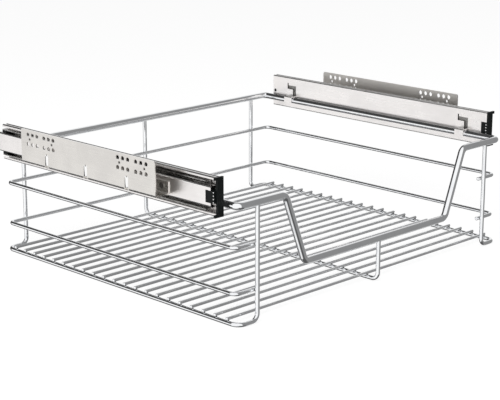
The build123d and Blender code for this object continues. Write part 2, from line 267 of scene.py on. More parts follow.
class EffectShop:
    """Builds each shared effect once and hands the group out."""

    def __init__(self) -> None:
        """Starts with no groups made."""
        self._made: dict[EffectGroup, bpy.types.NodeTree] = {}

    def get(self, effect: EffectGroup) -> bpy.types.NodeTree:
        """Returns an effect's node group, built on first use.

        Args:
            effect: which effect.

        Returns:
            The shader node group.
        """
        if effect not in self._made:
            builder = {
                EffectGroup.PLATING: self._plating,
                EffectGroup.ROLLED: self._rolled,
                EffectGroup.WEAR: self._wear_and_highlight,
                EffectGroup.MOULDED: self._moulded,
                EffectGroup.PRESSED: self._slope_highlight,
                EffectGroup.INWARD: self._inward,
            }[effect]
            self._made[effect] = builder(effect.value)
        return self._made[effect]

    @staticmethod
    def _shell(
            name: str, inputs: Sequence[tuple[str, str, object]],
            outputs: Sequence[tuple[str, str]],
    ) -> tuple[NodeSheet, bpy.types.Node, bpy.types.Node]:
        """Makes an empty group with its sockets.

        Args:
            name: the group's name.
            inputs: name, socket type and default of each input.
            outputs: name and socket type of each output.

        Returns:
            The sheet, the group's input node and its output node.
        """
        tree = bpy.data.node_groups.new(name, "ShaderNodeTree")
        for label, kind, default in inputs:
            socket = tree.interface.new_socket(label, in_out="INPUT", socket_type=kind)
            socket.default_value = default
        for label, kind in outputs:
            tree.interface.new_socket(label, in_out="OUTPUT", socket_type=kind)
        sheet = NodeSheet(tree)
        return sheet, sheet.add("NodeGroupInput"), sheet.add("NodeGroupOutput")

    def _plating(self, name: str) -> bpy.types.NodeTree:
        """Soft clouds of tone and gloss with fine pits, as electroplating leaves them.

        Args:
            name: the group's name.

        Returns:
            The node group.
        """
        cloud_span = (0.35, 0.68)
        cloud_share, fine_share = 0.65, 0.35
        fine_scale, pit_scale, pit_height = 900.0, 1400.0, 0.2 * MM
        sheet, given, out = self._shell(
            name,
            [("Bright", "NodeSocketColor", (0.8, 0.8, 0.8, 1)),
             ("Dull", "NodeSocketColor", (0.6, 0.6, 0.6, 1)),
             ("Cloud Size", "NodeSocketFloat", 30.0),
             ("Gloss Low", "NodeSocketFloat", 0.1),
             ("Gloss High", "NodeSocketFloat", 0.2),
             ("Pit Depth", "NodeSocketFloat", 0.1),
             ("Edge Radius", "NodeSocketFloat", 0.0)],
            [("Colour", "NodeSocketColor"), ("Roughness", "NodeSocketFloat"),
             ("Normal", "NodeSocketVector")])
        place = sheet.add("ShaderNodeTexCoord").outputs["Object"]
        cloud = sheet.add("ShaderNodeTexNoise")
        sheet.put(cloud, "Vector", place)
        sheet.put(cloud, "Scale", given.outputs["Cloud Size"])
        sheet.put(cloud, "Detail", 5.0)
        amount = sheet.remap(cloud.outputs[0], *cloud_span)
        colour = sheet.blend(amount, given.outputs["Bright"], given.outputs["Dull"])
        sheet.put(out, "Colour", colour)
        fine = sheet.grain(place, fine_scale, 3.0, 0.6)
        spread = sheet.maths("SUBTRACT", given.outputs["Gloss High"], given.outputs["Gloss Low"])
        mixed = sheet.maths("ADD", sheet.maths("MULTIPLY", amount, cloud_share),
                            sheet.maths("MULTIPLY", fine, fine_share))
        rough = sheet.maths("MULTIPLY_ADD", mixed, spread, given.outputs["Gloss Low"])
        sheet.put(out, "Roughness", rough)
        bump = sheet.add("ShaderNodeBump")
        sheet.put(bump, "Strength", given.outputs["Pit Depth"])
        sheet.put(bump, "Distance", pit_height)
        sheet.put(bump, "Height", sheet.grain(place, pit_scale, 4.0, 0.7))
        softened = sheet.add("ShaderNodeBevel", samples=4)
        sheet.put(softened, "Radius", given.outputs["Edge Radius"])
        sheet.put(bump, "Normal", softened.outputs[0])
        sheet.put(out, "Normal", bump.outputs[0])
        return sheet.tree

    def _rolled(self, name: str) -> bpy.types.NodeTree:
        """Fine lines along the rolling direction, with a mask of scratches and a bump.

        Args:
            name: the group's name.

        Returns:
            The node group.
        """
        line_height = 0.1 * MM
        scratch_scale, scratch_span = 6.0, (0.62, 0.70)
        sheet, given, out = self._shell(
            name,
            [("Along", "NodeSocketVector", (60.0, 1.0, 60.0)),
             ("Line Scale", "NodeSocketFloat", 20.0),
             ("Depth", "NodeSocketFloat", 0.1),
             ("Normal", "NodeSocketVector", (0.0, 0.0, 0.0))],
            [("Lines", "NodeSocketFloat"), ("Scratches", "NodeSocketFloat"),
             ("Normal", "NodeSocketVector")])
        place = sheet.add("ShaderNodeTexCoord").outputs["Object"]
        stretched = sheet.add("ShaderNodeVectorMath", operation="MULTIPLY")
        sheet.put(stretched, 0, place)
        sheet.put(stretched, 1, given.outputs["Along"])
        lines = sheet.add("ShaderNodeTexNoise")
        sheet.put(lines, "Vector", stretched.outputs[0])
        sheet.put(lines, "Scale", given.outputs["Line Scale"])
        sheet.put(lines, "Detail", 3.0)
        sheet.put(out, "Lines", lines.outputs[0])
        marks = sheet.add("ShaderNodeTexNoise")
        sheet.put(marks, "Vector", stretched.outputs[0])
        sheet.put(marks, "Scale", scratch_scale)
        sheet.put(marks, "Detail", 2.0)
        sheet.put(out, "Scratches", sheet.remap(marks.outputs[0], *scratch_span))
        bump = sheet.add("ShaderNodeBump")
        sheet.put(bump, "Strength", given.outputs["Depth"])
        sheet.put(bump, "Distance", line_height)
        sheet.put(bump, "Height", lines.outputs[0])
        sheet.put(bump, "Normal", given.outputs["Normal"])
        sheet.put(out, "Normal", bump.outputs[0])
        return sheet.tree

    def _wear_and_highlight(self, name: str) -> bpy.types.NodeTree:
        """Mask that is 1 on edges, broken up by grain, for abrasion and painted edge highlight.

        Args:
            name: the group's name.

        Returns:
            The node group.
        """
        turned_span, grain_span = (0.98, 0.80), (0.3, 0.6)
        sheet, given, out = self._shell(
            name,
            [("Width", "NodeSocketFloat", 0.0004), ("Break Up", "NodeSocketFloat", 300.0)],
            [("Edge", "NodeSocketFloat")])
        rounded = sheet.add("ShaderNodeBevel", samples=4)
        sheet.put(rounded, "Radius", given.outputs["Width"])
        facing = sheet.add("ShaderNodeVectorMath", operation="DOT_PRODUCT")
        sheet.put(facing, 0, rounded.outputs[0])
        sheet.put(facing, 1, sheet.add("ShaderNodeNewGeometry").outputs["Normal"])
        edge = sheet.remap(facing.outputs["Value"], *turned_span)
        place = sheet.add("ShaderNodeTexCoord").outputs["Object"]
        speck = sheet.add("ShaderNodeTexNoise")
        sheet.put(speck, "Vector", place)
        sheet.put(speck, "Scale", given.outputs["Break Up"])
        broken = sheet.remap(speck.outputs[0], *grain_span)
        sheet.put(out, "Edge", sheet.maths("MULTIPLY", edge, broken))
        return sheet.tree

    def _slope_highlight(self, name: str) -> bpy.types.NodeTree:
        """Mask that is 1 where an upright sheet slopes a little, and on its upper cut edges.

        A stamped dart slopes so; both get a painted highlight, brighter than the sheet.

        Args:
            name: the group's name.

        Returns:
            The node group.
        """
        upright, level = 0.9, 0.9
        sheet, given, out = self._shell(
            name,
            [("Least Slope", "NodeSocketFloat", 0.10), ("Most Slope", "NodeSocketFloat", 0.40)],
            [("Slope", "NodeSocketFloat")])
        way = sheet.add("ShaderNodeSeparateXYZ")
        sheet.put(way, 0, sheet.add("ShaderNodeNewGeometry").outputs["True Normal"])
        slope = sheet.maths("ABSOLUTE", way.outputs["Z"])
        low = sheet.maths("GREATER_THAN", slope, given.outputs["Least Slope"])
        high = sheet.maths("LESS_THAN", slope, given.outputs["Most Slope"])
        flat = sheet.maths("GREATER_THAN", sheet.maths("ABSOLUTE", way.outputs["X"]), upright)
        sloping = sheet.maths("MULTIPLY", sheet.maths("MULTIPLY", low, high), flat)
        cut_edge = sheet.maths("GREATER_THAN", way.outputs["Z"], level)
        sheet.put(out, "Slope", sheet.maths("MAXIMUM", sloping, cut_edge))
        return sheet.tree

    def _inward(self, name: str) -> bpy.types.NodeTree:
        """Mask that is 1 on faces turned to the middle plane of the assembly.

        Args:
            name: the group's name.

        Returns:
            The node group.
        """
        sheet, given, out = self._shell(
            name,
            [("Least", "NodeSocketFloat", 0.5)],
            [("Inner", "NodeSocketFloat")])
        way = sheet.add("ShaderNodeSeparateXYZ")
        sheet.put(way, 0, sheet.add("ShaderNodeNewGeometry").outputs["True Normal"])
        place = sheet.add("ShaderNodeSeparateXYZ")
        sheet.put(place, 0, sheet.add("ShaderNodeTexCoord").outputs["Object"])
        side = sheet.maths("SIGN", place.outputs["X"])
        facing = sheet.maths("MULTIPLY", sheet.maths("MULTIPLY", way.outputs["X"], side), -1.0)
        sheet.put(out, "Inner", sheet.maths("GREATER_THAN", facing, given.outputs["Least"]))
        return sheet.tree

    def _moulded(self, name: str) -> bpy.types.NodeTree:
        """Fine spark-eroded skin of moulded plastic with soft flow marks.

        Args:
            name: the group's name.

        Returns:
            The node group.
        """
        skin_height = 0.1 * MM
        flow_scale, flow_span = 180.0, (0.3, 0.7)
        sheet, given, out = self._shell(
            name,
            [("Grain Scale", "NodeSocketFloat", 2600.0), ("Depth", "NodeSocketFloat", 0.3)],
            [("Flow", "NodeSocketFloat"), ("Normal", "NodeSocketVector")])
        place = sheet.add("ShaderNodeTexCoord").outputs["Object"]
        skin = sheet.add("ShaderNodeTexVoronoi", feature="SMOOTH_F1")
        sheet.put(skin, "Vector", place)
        sheet.put(skin, "Scale", given.outputs["Grain Scale"])
        bump = sheet.add("ShaderNodeBump")
        sheet.put(bump, "Strength", given.outputs["Depth"])
        sheet.put(bump, "Distance", skin_height)
        sheet.put(bump, "Height", skin.outputs["Distance"])
        sheet.put(out, "Normal", bump.outputs[0])
        sheet.put(out, "Flow", sheet.remap(sheet.grain(place, flow_scale, 3.0), *flow_span))
        return sheet.tree


@dataclass(frozen=True)
class MetalFinish:
    """A plated or bare metal surface.

    Attributes:
        name: the material's name.
        bright: colour of the clean plating.
        dull: colour in the duller clouds.
        gloss: lowest and highest roughness.
        cloud_size: clouds per metre.
        pit_depth: strength of the fine pitting.
        rolled: rolling direction, or None for drawn wire and balls.
        line_depth: strength of the rolled lines.
        lit_and_worn_edge: lighter colour on the edges, partly abrasion and partly painted edge
            highlight, or None for none.
        wear_width: how far that edge colour reaches in from an edge.
        pressed: painted highlight colour on slightly sloping faces and upper cut edges,
            or None.
        edge: radius by which cut edges look rounded off.
        inner_gloss: roughness of the faces turned to the middle, or None when they are the same.
    """

    STREAK = 0.16
    SCRATCH_SHADE = 0.10
    PRESSED_GLOSS = 0.08

    name: str
    bright: Colour
    dull: Colour
    gloss: tuple[float, float]
    cloud_size: float = 30.0
    pit_depth: float = 0.1
    rolled: Optional[Axis] = None
    line_depth: float = 0.12
    lit_and_worn_edge: Optional[Colour] = None
    wear_width: float = 0.4 * MM
    pressed: Optional[Colour] = None
    edge: float = 0.0
    inner_gloss: Optional[float] = None

    def material(self, shop: EffectShop) -> bpy.types.Material:
        """Builds the node material.

        Args:
            shop: where the shared effects come from.

        Returns:
            The new material.
        """
        material = bpy.data.materials.new(self.name)
        material.use_nodes = True
        sheet = NodeSheet(material.node_tree)
        surface = material.node_tree.nodes["Principled BSDF"]
        surface.inputs["Metallic"].default_value = 1.0
        plating = sheet.add("ShaderNodeGroup", node_tree=shop.get(EffectGroup.PLATING))
        for socket, value in (("Bright", (*self.bright, 1)), ("Dull", (*self.dull, 1)),
                              ("Cloud Size", self.cloud_size), ("Gloss Low", self.gloss[0]),
                              ("Gloss High", self.gloss[1]), ("Pit Depth", self.pit_depth),
                              ("Edge Radius", self.edge)):
            sheet.put(plating, socket, value)
        colour = plating.outputs["Colour"]
        rough = plating.outputs["Roughness"]
        normal = plating.outputs["Normal"]
        if self.rolled is not None:
            lines = sheet.add("ShaderNodeGroup", node_tree=shop.get(EffectGroup.ROLLED))
            sheet.put(lines, "Along", self.rolled.value)
            sheet.put(lines, "Depth", self.line_depth)
            sheet.put(lines, "Normal", normal)
            normal = lines.outputs["Normal"]
            streak = sheet.maths("MULTIPLY_ADD", lines.outputs["Lines"], self.STREAK,
                                 -self.STREAK / 2)
            rough = sheet.maths("ADD", rough, streak, clamp=True)
            shade = sheet.maths("MULTIPLY", lines.outputs["Scratches"], self.SCRATCH_SHADE)
            colour = sheet.blend(shade, colour, (*self.dull, 1))
        # Lighter edges: abrasion, and on the darker finishes a painted edge highlight.
        if self.lit_and_worn_edge is not None:
            edge_band = sheet.add("ShaderNodeGroup", node_tree=shop.get(EffectGroup.WEAR))
            sheet.put(edge_band, "Width", self.wear_width)
            colour = sheet.blend(edge_band.outputs["Edge"], colour, (*self.lit_and_worn_edge, 1))
        # Painted highlight on slightly sloping faces and upper cut edges, with a smoother gloss.
        if self.pressed is not None:
            slope_light = sheet.add("ShaderNodeGroup", node_tree=shop.get(EffectGroup.PRESSED))
            colour = sheet.blend(slope_light.outputs["Slope"], colour, (*self.pressed, 1))
            rough = sheet.lerp(slope_light.outputs["Slope"], rough, self.PRESSED_GLOSS)
        if self.inner_gloss is not None:
            inward = sheet.add("ShaderNodeGroup", node_tree=shop.get(EffectGroup.INWARD))
            rough = sheet.lerp(inward.outputs["Inner"], rough, self.inner_gloss)
        sheet.put(surface, "Base Color", colour)
        sheet.put(surface, "Roughness", rough)
        sheet.put(surface, "Normal", normal)
        return material


@dataclass(frozen=True)
class PlasticFinish:
    """A moulded plastic surface.

    Attributes:
        name: the material's name.
        base: its colour.
        rubbed: colour on rubbed edges.
        gloss: lowest and highest roughness.
        skin_depth: strength of the mould grain.
        shine: strength of the clear reflection.
    """

    name: str
    base: Colour
    rubbed: Colour
    gloss: tuple[float, float] = (0.38, 0.52)
    skin_depth: float = 0.25
    shine: float = 0.15

    def material(self, shop: EffectShop) -> bpy.types.Material:
        """Builds the node material.

        Args:
            shop: where the shared effects come from.

        Returns:
            The new material.
        """
        material = bpy.data.materials.new(self.name)
        material.use_nodes = True
        sheet = NodeSheet(material.node_tree)
        surface = material.node_tree.nodes["Principled BSDF"]
        skin = sheet.add("ShaderNodeGroup", node_tree=shop.get(EffectGroup.MOULDED))
        sheet.put(skin, "Depth", self.skin_depth)
        edge_band = sheet.add("ShaderNodeGroup", node_tree=shop.get(EffectGroup.WEAR))
        colour = sheet.blend(edge_band.outputs["Edge"], (*self.base, 1), (*self.rubbed, 1))
        low, high = self.gloss
        rough = sheet.maths("MULTIPLY_ADD", skin.outputs["Flow"], high - low, low)
        surface.inputs["Specular IOR Level"].default_value = self.shine
        sheet.put(surface, "Base Color", colour)
        sheet.put(surface, "Roughness", rough)
        sheet.put(surface, "Normal", skin.outputs["Normal"])
        return material


@dataclass
class FinishRack:
    """Every finish of the assembly, each material made once.

    Attributes:
        shop: where the shared effects come from.
        made: the materials so far, by name.
    """

    shop: EffectShop = field(default_factory=EffectShop)
    made: dict[str, bpy.types.Material] = field(default_factory=dict)

    WIRE = MetalFinish("chrome_on_wire", (0.95, 0.96, 0.97), (0.90, 0.91, 0.93), (0.05, 0.10),
                       cloud_size=45.0, pit_depth=0.04)
    WELD = MetalFinish("chrome_on_weld", (0.26, 0.255, 0.25), (0.10, 0.097, 0.093), (0.24, 0.42),
                       cloud_size=500.0, pit_depth=0.6)
    # The lighter edge colours of the slide and bracket are partly abrasion and partly painted edge
    # highlight.
    SLIDE = MetalFinish("zinc_on_slide", (0.96, 0.93, 0.915), (0.93, 0.90, 0.885), (0.27, 0.33),
                        cloud_size=26.0, pit_depth=0.015, rolled=Axis.Y, line_depth=0.05,
                        lit_and_worn_edge=(0.97, 0.96, 0.95), pressed=(0.97, 0.965, 0.96), edge=0.1 * MM)
    # Painted highlight: the near-white colour on the bracket's sloping dart faces and upward faces,
    # and faintly on the slide's.
    BRACKET = MetalFinish("zinc_on_bracket", (0.80, 0.775, 0.74), (0.765, 0.74, 0.71), (0.25, 0.31),
                          cloud_size=34.0, pit_depth=0.015, rolled=Axis.Y, line_depth=0.04,
                          lit_and_worn_edge=(0.95, 0.94, 0.93), pressed=(0.98, 0.975, 0.97), inner_gloss=0.50)
    # Painted highlight: near-white glossy zinc on the dart ribs and cap teeth, so that they show as
    # bright glints.
    BURNISHED = MetalFinish("burnished_zinc", (0.99, 0.985, 0.98), (0.96, 0.955, 0.95),
                            (0.07, 0.12), cloud_size=120.0, pit_depth=0.02, rolled=Axis.Z,
                            line_depth=0.03)
    # Painted shade: the intermediate member is dark for the shade inside the slide, and its
    # near-white edge colour is painted edge highlight.
    OILED = MetalFinish("oiled_zinc_inside", (0.26, 0.253, 0.243), (0.16, 0.156, 0.15),
                        (0.22, 0.32), cloud_size=60.0, rolled=Axis.Y, lit_and_worn_edge=(0.92, 0.91, 0.89),
                        wear_width=0.7 * MM)
    RIVET = MetalFinish("zinc_on_rivet", (0.36, 0.35, 0.34), (0.24, 0.23, 0.22), (0.28, 0.40),
                        cloud_size=260.0, pit_depth=0.3)
    CAGE = MetalFinish("greased_cage_steel", (0.26, 0.255, 0.25), (0.16, 0.155, 0.15), (0.26, 0.38),
                       cloud_size=70.0, rolled=Axis.Y)
    BALL = MetalFinish("bearing_ball_steel", (0.80, 0.80, 0.80), (0.72, 0.72, 0.71), (0.05, 0.10),
                       cloud_size=200.0, pit_depth=0.02)
    PLASTIC = PlasticFinish("black_moulded_plastic", (0.007, 0.009, 0.009), (0.05, 0.053, 0.053))

    def dress(self, piece: bpy.types.Object, finish: MetalFinish | PlasticFinish,
              slot: Slot) -> None:
        """Gives a piece its finish.

        Args:
            piece: the mesh object.
            finish: the look.
            slot: the record's material slot; not used.
        """
        if finish.name not in self.made:
            self.made[finish.name] = finish.material(self.shop)
        piece.data.materials.clear()
        piece.data.materials.append(self.made[finish.name])


# ------------------------------------------------------------------ mesh helpers
@dataclass(frozen=True)
class BentLine:
    """Centre line of straight runs joined by tangent arcs.

    Attributes:
        points: corner points.
        radii: bend radius at each corner; a closed line has one for every point.
        closed: whether the last point joins the first.
        step: largest turn between two samples, in degrees.
    """

    points: Sequence[Vector]
    radii: Sequence[float]
    closed: bool = False
    step: float = 5.0

    def samples(self) -> list[Vector]:
        """Points along the line, dense in the bends and sparse in the runs.

        Returns:
            The points in order.
        """
        corners = [Vector(p) for p in self.points]
        count = len(corners)
        if self.closed:
            bends = {k: self.radii[k] for k in range(count)}
        else:
            bends = {k + 1: radius for k, radius in enumerate(self.radii)}
        line: list[Vector] = []
        for k, corner in enumerate(corners):
            radius = bends.get(k, 0.0)
            if radius <= 0:
                line.append(corner)
                continue
            back = (corners[k - 1] - corner).normalized()
            ahead = (corners[(k + 1) % count] - corner).normalized()
            turn = math.pi - back.angle(ahead)
            reach = radius * math.tan(turn / 2)
            middle = corner + (back + ahead).normalized() * (radius / math.cos(turn / 2))
            start = corner + back * reach - middle
            axis = back.cross(ahead).normalized()
            steps = max(2, math.ceil(math.degrees(turn) / self.step))
            for index in range(steps + 1):
                spin = Matrix.Rotation(-turn * index / steps, 3, axis)
                line.append(middle + spin @ start)
        return line


@dataclass(frozen=True)
class RoundWire:
    """A drawn wire swept along a bent line.

    Attributes:
        line: its centre line.
        diameter: wire diameter.
        ring: faces round the section.
        chamfer: rounding at each free end, as a share of the radius.
    """

    CAP_STEPS = 3

    line: BentLine
    diameter: float
    ring: int = 28
    chamfer: float = 0.35

    def build(self, name: str) -> bpy.types.Object:
        """Sweeps the section with frames that don't twist.

        Args:
            name: the piece's name.

        Returns:
            The new mesh object.
        """
        path = self.line.samples()
        closed = self.line.closed
        count = len(path)
        tangents = []
        for k in range(count):
            before = path[k - 1] if closed or k > 0 else path[k]
            after = path[(k + 1) % count] if closed or k < count - 1 else path[k]
            tangents.append((after - before).normalized())
        side = tangents[0].orthogonal().normalized()
        sides = [side]
        for k in range(1, count):
            turn = tangents[k - 1].rotation_difference(tangents[k])
            side = (turn @ sides[-1]).normalized()
            sides.append((side - tangents[k] * side.dot(tangents[k])).normalized())
        radius = self.diameter / 2
        stations = [(path[k], tangents[k], sides[k], radius) for k in range(count)]
        if not closed:
            stations = self._ends(stations)
        mesh = bmesh.new()
        rings = []
        for centre, tangent, across, size in stations:
            up = tangent.cross(across)
            rings.append([mesh.verts.new(centre + (across * math.cos(a) + up * math.sin(a)) * size)
                          for a in (math.tau * i / self.ring for i in range(self.ring))])
        spans = list(zip(rings, rings[1:]))
        if closed:
            spans.append((rings[-1], self._matched(rings[-1], rings[0])))
        for first, second in spans:
            for i in range(self.ring):
                j = (i + 1) % self.ring
                mesh.faces.new((first[i], first[j], second[j], second[i]))
        if not closed:
            mesh.faces.new(list(reversed(rings[0])))
            mesh.faces.new(rings[-1])
        bmesh.ops.recalc_face_normals(mesh, faces=mesh.faces)
        return Workbench.finish_mesh(mesh, name)

    def _ends(self, stations: list[Station]) -> list[Station]:
        """Adds the small rounded edge of a cropped wire at both ends.

        Args:
            stations: centre, tangent, side and radius of each ring.

        Returns:
            The stations with the rounded ends.
        """
        first, last = stations[0], stations[-1]
        head = self._cap(first, -first[1])
        tail = self._cap(last, last[1])
        return head[::-1] + stations[1:-1] + tail

    def _cap(self, station: Station, outward: Vector) -> list[Station]:
        """Rings of one rounded end.

        Args:
            station: the line's last point and its frame.
            outward: direction out of the wire.

        Returns:
            Stations from the full section out to the end face.
        """
        centre, tangent, across, radius = station
        soft = radius * self.chamfer
        rows = []
        for k in range(self.CAP_STEPS + 1):
            angle = math.pi / 2 * k / self.CAP_STEPS
            back = soft * (1 - math.sin(angle))
            size = radius - soft * (1 - math.cos(angle))
            rows.append((centre - outward * back, tangent, across, size))
        return rows

    @staticmethod
    def _matched(last: list, first: list) -> list:
        """Rotates the first ring's order so that a closed sweep joins without a twist.

        Args:
            last: vertices of the last ring.
            first: vertices of the first ring.

        Returns:
            The first ring's vertices, from the one nearest the last ring's start.
        """
        size = len(first)
        best = min(range(size), key=lambda s: (first[s].co - last[0].co).length_squared)
        return [first[(best + i) % size] for i in range(size)]


class Workbench:
    """Small mesh jobs that every sub-assembly uses.

    LUMP_SCALE, LUMP_STEP and LUMP_DEPTH shape the weld beads: size of the noise, its shift from
    one bead to the next, and how far it swells a bead, as a share of its size. BLOCK_LOOPS has the
    corners of a box's six faces.
    """

    LUMP_SCALE = 1.7
    LUMP_STEP = 1.31
    LUMP_DEPTH = 0.22
    BLOCK_LOOPS = ((0, 1, 3, 2), (4, 6, 7, 5), (0, 4, 5, 1), (2, 3, 7, 6), (0, 2, 6, 4),
                   (1, 5, 7, 3))

    @staticmethod
    def finish_mesh(mesh: bmesh.types.BMesh, name: str,
                    sharp_angle: float = 40.0) -> bpy.types.Object:
        """Turns a bmesh into a shaded object.

        Args:
            mesh: the bmesh, freed here.
            name: the piece's name.
            sharp_angle: edges over this many degrees stay crisp.

        Returns:
            The new object, linked to the scene.
        """
        data = bpy.data.meshes.new(name)
        mesh.to_mesh(data)
        mesh.free()
        data.shade_smooth()
        data.set_sharp_from_angle(angle=math.radians(sharp_angle))
        piece = bpy.data.objects.new(name, data)
        bpy.context.scene.collection.objects.link(piece)
        return piece

    @staticmethod
    def block(mesh: bmesh.types.BMesh, xs: Sequence[float], ys: Sequence[float],
              zs: Sequence[float], soft: float = 0.15 * MM) -> None:
        """Adds a box with softened edges to a bmesh.

        Args:
            mesh: the bmesh to add to.
            xs: its two limits in X.
            ys: its two limits in Y.
            zs: its two limits in Z.
            soft: width of the bevel.
        """
        corners = [mesh.verts.new((x, y, z)) for x in xs for y in ys for z in zs]
        faces = [mesh.faces.new([corners[k] for k in loop]) for loop in Workbench.BLOCK_LOOPS]
        edges = list({edge for face in faces for edge in face.edges})
        bmesh.ops.bevel(mesh, geom=edges, offset=soft, segments=2, profile=0.5, affect="EDGES")
        bmesh.ops.recalc_face_normals(mesh, faces=mesh.faces)

    @staticmethod
    def beads(name: str, spots: Sequence[Spot], seed: float) -> bpy.types.Object:
        """Little lumps of squeezed weld metal in one piece.

        Args:
            name: the piece's name.
            spots: centre, half sizes and direction of the long side of each bead.
            seed: offset into the noise field that shapes them.

        Returns:
            The new object.
        """
        mesh = bmesh.new()
        for number, (centre, half, along) in enumerate(spots):
            made = bmesh.ops.create_icosphere(mesh, subdivisions=3, radius=1.0)
            spin = along.to_track_quat("X", "Z").to_matrix()
            for vertex in made["verts"]:
                unit = vertex.co.normalized()
                place = Vector((seed, number * Workbench.LUMP_STEP, 0.0))
                lump = noise.noise(unit * Workbench.LUMP_SCALE + place)
                sized = Vector((unit.x * half.x, unit.y * half.y, unit.z * half.z))
                vertex.co = centre + spin @ (sized * (1 + Workbench.LUMP_DEPTH * lump))
        return Workbench.finish_mesh(mesh, name, 60.0)


# ------------------------------------------------------------------ sub-assemblies
@dataclass
class WireBasket:
    """The welded basket: top frame with its scoop, side wires, centre wire, rails and floor.

    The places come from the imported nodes' boxes; the fields are what a box can't tell.

    Attributes:
        rack: where the finishes come from.
        frame_wire, side_wire, rail_wire, floor_wire: wire diameters.
        frame_corner: bend radius of the top frame's corners.
        scoop_top_half, scoop_bar_half: half widths of the scoop at its top and at its bar.
        scoop_bend, side_corner, upright_bend, rail_corner: bend radii.
        rail_run_past_left, rail_run_past_right: where a rail's ends stop beyond the uprights.
        centre_end_drop: how far the centre wire ends below the middle of the scoop's bar.
        floor_count: cross wires in the floor.
        floor_bead, rail_bead, frame_bead: half sizes of a weld bead at each place.
        floor_bead_lift: height of a bead over the underside of its floor wire.
        frame_bead_outset, frame_bead_spread: place of the beads beside an upright's end.
        frame_bead_rise: their height on the frame, as a share of its wire.
    """

    rack: FinishRack
    frame_wire: float = 9.0 * MM
    side_wire: float = 5.5 * MM
    rail_wire: float = 5.0 * MM
    floor_wire: float = 4.0 * MM
    frame_corner: float = 7.0 * MM
    scoop_top_half: float = 167.0 * MM
    scoop_bar_half: float = 133.0 * MM
    scoop_bend: float = 10.0 * MM
    side_corner: float = 12.0 * MM
    upright_bend: float = 9.0 * MM
    rail_corner: float = 8.0 * MM
    rail_run_past_left: float = 1.0 * MM
    rail_run_past_right: float = 6.0 * MM
    centre_end_drop: float = 1.5 * MM
    floor_count: int = 21
    floor_bead: HalfSizes = (1.7 * MM, 2.0 * MM, 0.75 * MM)
    floor_bead_lift: float = 0.1 * MM
    rail_bead: HalfSizes = (2.1 * MM, 0.9 * MM, 1.9 * MM)
    frame_bead: HalfSizes = (1.1 * MM, 1.6 * MM, 1.0 * MM)
    frame_bead_outset: float = 0.6 * MM
    frame_bead_spread: float = 2.3 * MM
    frame_bead_rise: float = 0.07

    def build(self) -> None:
        """Draws every wire again as a smooth tube and adds the welds."""
        self._top_frame()
        for side in Side:
            self._side_wire(side)
        self._centre_wire()
        for level in ("lower", "upper"):
            self._rail(level)
        for number in range(1, self.floor_count + 1):
            self._floor_wire(f"floor_wire_{number:02d}")
        self._floor_welds()
        self._rail_welds()
        self._frame_welds()

    def _upright_x(self) -> float:
        """Distance of the uprights' centre lines from the middle plane."""
        return min(abs(v.x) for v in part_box("right_side_wire")) + self.side_wire / 2

    def _keep(self, piece: bpy.types.Object, node: str) -> None:
        """Lets a drawn wire stand for its CAD node.

        Args:
            piece: the new tube.
            node: the CAD node it replaces.
        """
        self.rack.dress(piece, FinishRack.WIRE, Slot.WIRE)
        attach(piece, "basket")
        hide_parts(node)
        LOG.info("wire %s stands for %s", piece.name, node)

    def _top_frame(self) -> None:
        """The closed top loop with the dipped handle."""
        low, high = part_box("top_frame")
        r = self.frame_wire / 2
        x, y, z, dip = high.x - r, high.y - r, high.z - r, low.z + r
        a, b = self.scoop_top_half, self.scoop_bar_half
        corners = [(x, y, z), (x, -y, z), (a, -y, z), (b, -y, dip),
                   (-b, -y, dip), (-a, -y, z), (-x, -y, z), (-x, y, z)]
        c, s = self.frame_corner, self.scoop_bend
        radii = [c, c, s, s, s, s, c, c]
        line = BentLine([Vector(p) for p in corners], radii, closed=True, step=3.0)
        self._keep(RoundWire(line, self.frame_wire, ring=40).build("frame_wire"), "top_frame")

    def _side_wire(self, side: Side) -> None:
        """One side's uprights, short runs and bottom run.

        Args:
            side: which side.
        """
        node = f"{side.word}_side_wire"
        low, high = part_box(node)
        r = self.side_wire / 2
        outer = max(abs(low.x), abs(high.x)) - r
        inner = min(abs(low.x), abs(high.x)) + r
        y, bottom, top = high.y - r, low.z + r, high.z
        s = side.value
        corners = [(inner * s, -y, top), (inner * s, -y, bottom), (outer * s, -y, bottom),
                   (outer * s, y, bottom), (inner * s, y, bottom), (inner * s, y, top)]
        radii = [self.upright_bend, self.side_corner, self.side_corner, self.upright_bend]
        line = BentLine([Vector(p) for p in corners], radii)
        self._keep(RoundWire(line, self.side_wire).build(f"{side.word}_bottom_wire"), node)

    def _centre_wire(self) -> None:
        """Rear upright, run under the floor and short front upright."""
        low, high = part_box("centre_wire")
        r = self.side_wire / 2
        y, bottom = high.y - r, low.z + r
        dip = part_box("top_frame")[0].z + self.frame_wire / 2 - self.centre_end_drop
        corners = [(0, y, high.z), (0, y, bottom), (0, -y, bottom), (0, -y, dip)]
        line = BentLine([Vector(p) for p in corners], [self.upright_bend, self.upright_bend])
        self._keep(RoundWire(line, self.side_wire).build("middle_wire"), "centre_wire")

    def _rail(self, level: str) -> None:
        """A rail round both sides and the rear, turned in at the front.

        Args:
            level: lower or upper.
        """
        node = f"{level}_rail_wire"
        low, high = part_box(node)
        r = self.rail_wire / 2
        x, y, z = high.x - r, high.y - r, (low.z + high.z) / 2
        left_end = -self._upright_x() + self.rail_run_past_left
        right_end = self._upright_x() - self.rail_run_past_right
        corners = [(left_end, -y, z), (-x, -y, z), (-x, y, z), (x, y, z), (x, -y, z),
                   (right_end, -y, z)]
        line = BentLine([Vector(p) for p in corners], [self.rail_corner] * 4)
        self._keep(RoundWire(line, self.rail_wire).build(f"{level}_rail"), node)

